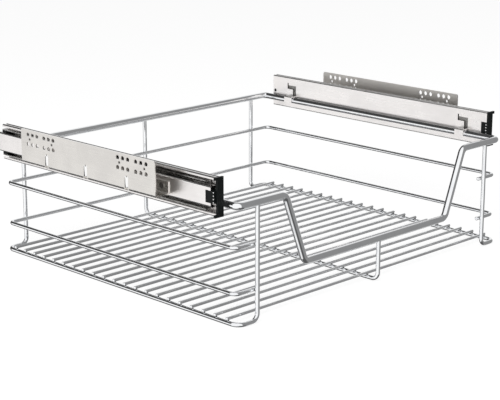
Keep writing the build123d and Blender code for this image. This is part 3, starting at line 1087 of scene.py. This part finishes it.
    def _floor_wire(self, node: str) -> None:
        """A cross wire of the floor.

        Args:
            node: its CAD node.
        """
        low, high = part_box(node)
        y, z = (low.y + high.y) / 2, (low.z + high.z) / 2
        line = BentLine([Vector((low.x, y, z)), Vector((high.x, y, z))], [])
        rod = RoundWire(line, self.floor_wire, ring=20).build(node.replace("_wire", "_rod"))
        self._keep(rod, node)

    def _floor_welds(self) -> None:
        """Squeezed metal where each floor wire lies on the side and centre wires."""
        side_x = max(abs(v.x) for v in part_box("right_side_wire")) - self.side_wire / 2
        for name, x in (("left", -side_x), ("centre", 0.0), ("right", side_x)):
            spots = []
            for number in range(1, self.floor_count + 1):
                low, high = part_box(f"floor_wire_{number:02d}")
                centre = Vector((x, (low.y + high.y) / 2, low.z + self.floor_bead_lift))
                spots.append((centre, Vector(self.floor_bead), ALONG_X))
            self._weld(f"{name}_floor_welds", spots)

    def _rail_welds(self) -> None:
        """Squeezed metal where the rails touch the uprights."""
        inner_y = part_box("right_side_wire")[1].y - self.side_wire
        places = [(sx * self._upright_x(), sy) for sx in (-1, 1) for sy in (-1, 1)] + [(0.0, 1)]
        for level in ("lower", "upper"):
            low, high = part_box(f"{level}_rail_wire")
            z = (low.z + high.z) / 2
            spots = [(Vector((x, sy * inner_y, z)), Vector(self.rail_bead), ALONG_X)
                     for x, sy in places]
            self._weld(f"{level}_rail_welds", spots)

    def _frame_welds(self) -> None:
        """Squeezed metal on both sides of each upright's top end."""
        low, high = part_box("top_frame")
        y = high.y - self.frame_wire / 2 + self.frame_bead_outset
        rise = self.frame_wire * self.frame_bead_rise
        top, dip = high.z - self.frame_wire + rise, low.z + rise
        ends = [(sx * self._upright_x(), sy * y, top) for sx in (-1, 1) for sy in (-1, 1)]
        ends += [(0.0, y, top), (0.0, -y, dip)]
        spots = [(Vector((x + s * self.frame_bead_spread, y, z)), Vector(self.frame_bead), ALONG_X)
                 for x, y, z in ends for s in (-1, 1)]
        self._weld("frame_welds", spots)

    def _weld(self, name: str, spots: Sequence[Spot]) -> None:
        """Makes one group of weld beads.

        Args:
            name: the piece's name.
            spots: where the beads are.
        """
        piece = Workbench.beads(name, spots, seed=float(len(name)))
        self.rack.dress(piece, FinishRack.WELD, Slot.WIRE)
        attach(piece, "basket")
        LOG.info("%s: %d beads", name, len(spots))


@dataclass
class BallSlide:
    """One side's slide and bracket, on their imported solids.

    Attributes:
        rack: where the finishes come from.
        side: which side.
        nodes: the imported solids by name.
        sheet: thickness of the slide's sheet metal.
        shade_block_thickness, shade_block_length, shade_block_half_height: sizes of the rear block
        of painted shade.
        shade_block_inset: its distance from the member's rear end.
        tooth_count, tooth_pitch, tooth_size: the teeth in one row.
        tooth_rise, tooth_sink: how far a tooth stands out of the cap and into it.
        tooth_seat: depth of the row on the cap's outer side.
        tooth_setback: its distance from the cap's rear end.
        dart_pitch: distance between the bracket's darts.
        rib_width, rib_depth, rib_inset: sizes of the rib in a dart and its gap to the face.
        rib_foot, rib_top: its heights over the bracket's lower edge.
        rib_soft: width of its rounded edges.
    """

    rack: FinishRack
    side: Side
    nodes: dict[str, bpy.types.Object]
    sheet: float = 1.2 * MM
    shade_block_thickness: float = 0.8 * MM
    shade_block_length: float = 9.0 * MM
    shade_block_inset: float = 0.4 * MM
    shade_block_half_height: float = 4.5 * MM
    tooth_count: int = 4
    tooth_pitch: float = 3.9 * MM
    tooth_size: float = 1.4 * MM
    tooth_rise: float = 0.25 * MM
    tooth_sink: float = 0.3 * MM
    tooth_seat: float = 12.45 * MM
    tooth_setback: float = 12.8 * MM
    dart_pitch: float = 75.0 * MM
    rib_width: float = 5.6 * MM
    rib_depth: float = 2.6 * MM
    rib_inset: float = 0.06 * MM
    rib_foot: float = 2.6 * MM
    rib_top: float = 15.2 * MM
    rib_soft: float = 0.3 * MM

    def build(self) -> None:
        """Dresses every solid of the slide."""
        looks = {
            "basket_member": (FinishRack.SLIDE, Slot.SLIDE),
            "intermediate_member": (FinishRack.OILED, Slot.SLIDE),
            # The intermediate member's dark finish is painted shade of the slide's inside.
            "cabinet_member": (FinishRack.SLIDE, Slot.SLIDE),
            "cabinet_bracket": (FinishRack.BRACKET, Slot.BRACKET),
            "bracket_rivets": (FinishRack.RIVET, Slot.RIVET),
            "front_cap": (FinishRack.PLASTIC, Slot.PLASTIC),
            "intermediate_bumper": (FinishRack.PLASTIC, Slot.PLASTIC),
            "outer_ball_cage": (FinishRack.CAGE, Slot.CAGE),
            "inner_ball_cage": (FinishRack.CAGE, Slot.CAGE),
            "outer_balls": (FinishRack.BALL, Slot.BALL),
            "inner_balls": (FinishRack.BALL, Slot.BALL),
        }
        for name, (finish, slot) in looks.items():
            node = f"{self.side.word}_{name}"
            self.rack.dress(self.nodes[node], finish, slot)
            LOG.info("%s dressed in %s", node, finish.name)
        self._rear_shade_block()
        self._cap_teeth()
        self._dart_ribs()

    def _depth(self, depth: float) -> float:
        """X of a plane in the slide.

        Args:
            depth: distance from the basket member's inner face, away from the basket.

        Returns:
            The plane's X.
        """
        low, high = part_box(f"{self.side.word}_front_cap")
        return self.side.value * (min(abs(low.x), abs(high.x)) + depth)

    def _dart_ribs(self) -> None:
        """Ribs that stand in the stamped darts of the bracket, in near-white zinc that paints the
        highlight the darts catch.
        """
        low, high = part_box(f"{self.side.word}_cabinet_bracket")
        outer = max(abs(low.x), abs(high.x))
        middle = (low.y + high.y) / 2
        mesh = bmesh.new()
        x_range = sorted(self.side.value * (outer - back)
                         for back in (self.rib_depth, self.rib_inset))
        for step in (-1, 0, 1):
            y = middle + step * self.dart_pitch
            Workbench.block(mesh, x_range, (y - self.rib_width / 2, y + self.rib_width / 2),
                            (low.z + self.rib_foot, low.z + self.rib_top), self.rib_soft)
        ribs = Workbench.finish_mesh(mesh, f"{self.side.word}_dart_ribs")
        self.rack.dress(ribs, FinishRack.BURNISHED, Slot.BRACKET)
        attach(ribs, "cabinet_side")
        LOG.info("%s added", ribs.name)

    def _rear_shade_block(self) -> None:
        """Black block behind the round hole at the basket member's rear end: painted shade that
        makes the hole look dark.
        """
        low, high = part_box(f"{self.side.word}_basket_member")
        middle = (low.z + high.z) / 2
        mesh = bmesh.new()
        x_range = sorted(self._depth(d) for d in (self.sheet, self.sheet + self.shade_block_thickness))
        Workbench.block(mesh, x_range, (high.y - self.shade_block_length, high.y - self.shade_block_inset),
                        (middle - self.shade_block_half_height, middle + self.shade_block_half_height))
        shade_block = Workbench.finish_mesh(mesh, f"{self.side.word}_rear_shade_block")
        self.rack.dress(shade_block, FinishRack.PLASTIC, Slot.PLASTIC)
        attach(shade_block, "basket")
        LOG.info("%s added", shade_block.name)

    def _cap_teeth(self) -> None:
        """Row of small zinc teeth that grip the front cap, seen in its slots; their near-white zinc
        paints highlight glints on the cap.
        """
        low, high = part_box(f"{self.side.word}_front_cap")
        middle = (low.z + high.z) / 2
        y = high.y - self.tooth_setback
        mesh = bmesh.new()
        half = self.tooth_size / 2
        for face in (-self.tooth_rise, self.tooth_seat):
            x_range = sorted(self._depth(d)
                             for d in (face, face + self.tooth_rise + self.tooth_sink))
            for step in range(self.tooth_count):
                z = middle + (step - (self.tooth_count - 1) / 2) * self.tooth_pitch
                Workbench.block(mesh, x_range, (y - half, y + half), (z - half, z + half))
        teeth = Workbench.finish_mesh(mesh, f"{self.side.word}_cap_teeth")
        self.rack.dress(teeth, FinishRack.BURNISHED, Slot.SLIDE)
        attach(teeth, "basket")
        LOG.info("%s added", teeth.name)


# ------------------------------------------------------------------ studio
@dataclass(frozen=True)
class MetalRoom:
    """The plain room that metal reflects, as tones of the directions in it.

    It is white on the left and grey on the right. Except on the right, it is dark above the rear,
    and dark low down in the middle and at the rear. A tone is the light's strength. A span tests
    the coordinate of the direction that ends its name: it has where a place starts and where it is
    full.

    Attributes:
        wall: tone of the right wall.
        corner: added to the wall in its rear corner.
        gap: added to the wall at the dark gap in the middle of the rear.
        low: added to the wall near the floor.
        ceiling, under: tones above the rear and low down.
        edge_front, edge_rear: where the left's white ends, towards the user and at the rear.
        edge_blur: half the width of that edge.
        edge_y: from the user's end of that edge to its rear end.
        corner_y, corner_x, gap_y, gap_x, low_z, low_x: spans of the wall's places.
        left_x, rear_y: spans of the part beside the right wall and of the rear.
        ceiling_z, under_middle_z, under_middle_x, under_rear_z: spans of the dark places.
    """

    wall: float = 0.265
    corner: float = 0.62
    gap: float = -0.235
    low: float = 0.20
    ceiling: float = 0.05
    under: float = 0.10
    edge_front: float = -0.18
    edge_rear: float = -0.40
    edge_blur: float = 0.07
    edge_y: Span = (-0.2, 0.5)
    corner_y: Span = (0.0, 0.45)
    corner_x: Span = (0.30, 0.60)
    gap_y: Span = (0.60, 0.80)
    gap_x: Span = (0.55, 0.25)
    low_z: Span = (-0.60, -0.74)
    low_x: Span = (0.45, 0.62)
    left_x: Span = (0.62, 0.25)
    rear_y: Span = (0.35, 0.60)
    ceiling_z: Span = (0.10, 0.22)
    under_middle_z: Span = (-0.48, -0.60)
    under_middle_x: Span = (-0.60, -0.42)
    under_rear_z: Span = (-0.42, -0.50)

    def tone(self, sheet: NodeSheet, way: bpy.types.Node) -> bpy.types.NodeSocket:
        """Adds the nodes that turn a direction into a tone.

        Args:
            sheet: the world's nodes.
            way: the node that gives the direction's coordinates.

        Returns:
            The tone's socket.
        """
        x, y, z = way.outputs

        def place(*spans: tuple[bpy.types.NodeSocket, Span]) -> bpy.types.NodeSocket:
            """Mask that is 1 where both coordinates lie within their spans."""
            first, second = (sheet.remap(value, *span) for value, span in spans)
            return sheet.maths("MULTIPLY", first, second)

        def towards(mask: bpy.types.NodeSocket, goal: float,
                    tone: bpy.types.NodeSocket) -> bpy.types.NodeSocket:
            """Moves a tone to a goal by a mask."""
            return sheet.maths("MULTIPLY_ADD", mask, sheet.maths("SUBTRACT", goal, tone), tone)

        level = sheet.maths("SQRT", sheet.maths("SUBTRACT", 1.0, sheet.maths("MULTIPLY", z, z)))
        turn = sheet.maths("DIVIDE", x, sheet.maths("MAXIMUM", level, 0.05))
        edge = sheet.remap(y, *self.edge_y, self.edge_front, self.edge_rear)
        past = sheet.maths("SUBTRACT", turn, edge)
        right = sheet.remap(past, -self.edge_blur, self.edge_blur)
        wall = self.wall
        for share, spans in ((self.corner, ((y, self.corner_y), (x, self.corner_x))),
                             (self.gap, ((y, self.gap_y), (x, self.gap_x))),
                             (self.low, ((z, self.low_z), (x, self.low_x)))):
            wall = sheet.maths("MULTIPLY_ADD", place(*spans), share, wall)
        tone = sheet.maths("MULTIPLY_ADD", right, sheet.maths("SUBTRACT", wall, 1.0), 1.0)
        left_part = sheet.remap(x, *self.left_x)
        rear_part = sheet.remap(y, *self.rear_y)
        left_rear = sheet.maths("MULTIPLY", left_part, rear_part)
        above = sheet.maths("MULTIPLY", sheet.remap(z, *self.ceiling_z), left_rear)
        tone = towards(above, self.ceiling, tone)
        under_middle = place((z, self.under_middle_z), (x, self.under_middle_x))
        under_rear = sheet.maths("MULTIPLY", sheet.remap(z, *self.under_rear_z), rear_part)
        under = sheet.maths("MAXIMUM", under_middle, under_rear)
        return towards(sheet.maths("MULTIPLY", under, left_part), self.under, tone)


@dataclass(frozen=True)
class SoftLamp:
    """A large square lamp that metal doesn't mirror.

    Attributes:
        name: the lamp's name.
        place: where it hangs.
        size: length of its side.
        power: its strength in watts.
    """

    name: str
    place: tuple[float, float, float]
    size: float
    power: float

    def build(self, aim: Sequence[float]) -> None:
        """Hangs the lamp and turns it to a point.

        Args:
            aim: the point.
        """
        data = bpy.data.lights.new(self.name, "AREA")
        data.shape = "SQUARE"
        data.size = self.size
        data.energy = self.power
        lamp = bpy.data.objects.new(self.name, data)
        bpy.context.scene.collection.objects.link(lamp)
        lamp.location = self.place
        lamp.visible_glossy = False
        lamp.rotation_mode = "QUATERNION"
        lamp.rotation_quaternion = (Vector(aim) - lamp.location).to_track_quat("-Z", "Y")


@dataclass
class Studio:
    """Pale floor, soft lamps, the room that metal reflects, and the camera.

    Attributes:
        target: the point that the camera looks at.
        azimuth, elevation, roll: the camera's angles in degrees.
        distance: from the target to the camera.
        focal_length, sensor: the lens and the sensor's width, in millimetres.
        clip: nearest and furthest distance seen.
        floor_size: side of the floor.
        floor_gap: space between the floor and the wires, so that they never coincide.
        floor_paint, floor_glow: the floor's grey and its own light, as the camera sees it.
        bounce_paint: the floor's grey for the light that it throws back on the object.
        ambient: strength of the world's light, apart from what metal mirrors.
        room: what metal mirrors.
        lamps: the lamps.
        lamp_aim: the point that they are turned to.
    """

    target: Vector = field(default_factory=lambda: Vector((0.14643, 0.15264, 0.00705)))
    azimuth: float = -45.131
    elevation: float = 15.033
    roll: float = 0.0577
    distance: float = 2.24144
    focal_length: float = 109.095
    sensor: float = 36.0
    clip: Span = (0.05, 50.0)
    floor_size: float = 12.0
    floor_gap: float = 0.4 * MM
    floor_paint: float = 0.32
    floor_glow: float = 0.80
    bounce_paint: float = 0.8
    ambient: float = 0.44
    room: MetalRoom = MetalRoom()
    lamps: tuple[SoftLamp, ...] = (SoftLamp("key_lamp", (-1.6, -0.7, 1.9), 1.6, 26.0),
                                   SoftLamp("fill_lamp", (1.4, -1.5, 1.3), 1.8, 10.0))
    lamp_aim: tuple[float, float, float] = (0.0, 0.0, 0.08)

    def build(self) -> None:
        """Makes the floor, world, lamps and camera."""
        bpy.context.scene.view_settings.view_transform = "Standard"
        self._floor()
        self._world()
        for lamp in self.lamps:
            lamp.build(self.lamp_aim)
        self._camera()
        LOG.info("studio set")

    @staticmethod
    def _emptied(tree: bpy.types.NodeTree) -> NodeSheet:
        """Takes a tree's default nodes out.

        Args:
            tree: the tree of a material or the world.

        Returns:
            The empty sheet.
        """
        for node in list(tree.nodes):
            tree.nodes.remove(node)
        return NodeSheet(tree)

    @staticmethod
    def _either(sheet: NodeSheet, amount: bpy.types.NodeSocket, first: bpy.types.Node,
                second: bpy.types.Node) -> bpy.types.Node:
        """Mixes two shaders.

        Args:
            sheet: where the mix is added.
            amount: 0 gives first, 1 gives second.
            first: the first shader's node.
            second: the second shader's node.

        Returns:
            The mix node.
        """
        mix = sheet.add("ShaderNodeMixShader")
        for index, value in enumerate((amount, first.outputs[0], second.outputs[0])):
            sheet.put(mix, index, value)
        return mix

    def _floor(self) -> None:
        """A pale floor, white with a faint shadow to the camera and clear to mirrored rays."""
        half = self.floor_size / 2
        data = bpy.data.meshes.new("floor")
        corners = [(-half, -half, 0), (half, -half, 0), (half, half, 0), (-half, half, 0)]
        data.from_pydata(corners, [], [(0, 1, 2, 3)])
        floor = bpy.data.objects.new("floor", data)
        bpy.context.scene.collection.objects.link(floor)
        floor.location.z = -self.floor_gap
        material = bpy.data.materials.new("pale_floor")
        material.use_nodes = True
        sheet = self._emptied(material.node_tree)
        out = sheet.add("ShaderNodeOutputMaterial")
        paper, plain = (sheet.add("ShaderNodeBsdfDiffuse") for _ in range(2))
        for paint, grey in ((paper, self.floor_paint), (plain, self.bounce_paint)):
            sheet.put(paint, "Color", (grey, grey, grey, 1))
        glow = sheet.add("ShaderNodeEmission")
        sheet.put(glow, "Strength", self.floor_glow)
        seen = sheet.add("ShaderNodeAddShader")
        sheet.put(seen, 0, paper.outputs[0])
        sheet.put(seen, 1, glow.outputs[0])
        clear = sheet.add("ShaderNodeBsdfTransparent")
        path = sheet.add("ShaderNodeLightPath")
        for_metal = self._either(sheet, path.outputs["Is Glossy Ray"], plain, clear)
        whole = self._either(sheet, path.outputs["Is Camera Ray"], for_metal, seen)
        sheet.put(out, "Surface", whole.outputs[0])
        data.materials.append(material)

    def _world(self) -> None:
        """White background, the metal's room for mirrored rays, and an even light for the rest."""
        world = bpy.data.worlds.new("room")
        world.use_nodes = True
        bpy.context.scene.world = world
        sheet = self._emptied(world.node_tree)
        out = sheet.add("ShaderNodeOutputWorld")
        path = sheet.add("ShaderNodeLightPath")
        way = sheet.add("ShaderNodeSeparateXYZ")
        sheet.put(way, 0, sheet.add("ShaderNodeTexCoord").outputs["Generated"])
        metal, soft, white = (sheet.add("ShaderNodeBackground") for _ in range(3))
        tone = self.room.tone(sheet, way)
        for paint, strength in ((metal, tone), (soft, self.ambient), (white, 1.0)):
            sheet.put(paint, "Color", (1, 1, 1, 1))
            sheet.put(paint, "Strength", strength)
        unseen = self._either(sheet, path.outputs["Is Glossy Ray"], soft, metal)
        straight = sheet.maths("MAXIMUM", path.outputs["Is Camera Ray"],
                               path.outputs["Is Transmission Ray"])
        whole = self._either(sheet, straight, unseen, white)
        sheet.put(out, "Surface", whole.outputs[0])

    def _camera(self) -> None:
        """The photograph's viewpoint."""
        data = bpy.data.cameras.new("camera")
        data.lens = self.focal_length
        data.sensor_width = self.sensor
        data.clip_start, data.clip_end = self.clip
        camera = bpy.data.objects.new("camera", data)
        bpy.context.scene.collection.objects.link(camera)
        a, e, t = (math.radians(v) for v in (self.azimuth, self.elevation, self.roll))
        back = Vector((math.sin(a) * math.cos(e), -math.cos(a) * math.cos(e), math.sin(e)))
        right = (-back).cross(Vector((0, 0, 1))).normalized()
        up = right.cross(-back)
        tilted_right = right * math.cos(t) + up * math.sin(t)
        tilted_up = up * math.cos(t) - right * math.sin(t)
        turn = Matrix((tilted_right, tilted_up, back)).transposed()
        camera.matrix_world = Matrix.Translation(self.target + back * self.distance) @ turn.to_4x4()
        bpy.context.scene.camera = camera


def main() -> None:
    """Builds the whole scene in order."""
    logging.basicConfig(level=logging.INFO, format="%(name)s: %(message)s")
    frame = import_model()
    rack = FinishRack()
    WireBasket(rack).build()
    for side in Side:
        BallSlide(rack, side, frame["nodes"]).build()
    Studio().build()


if __name__ == "__main__":
    main()
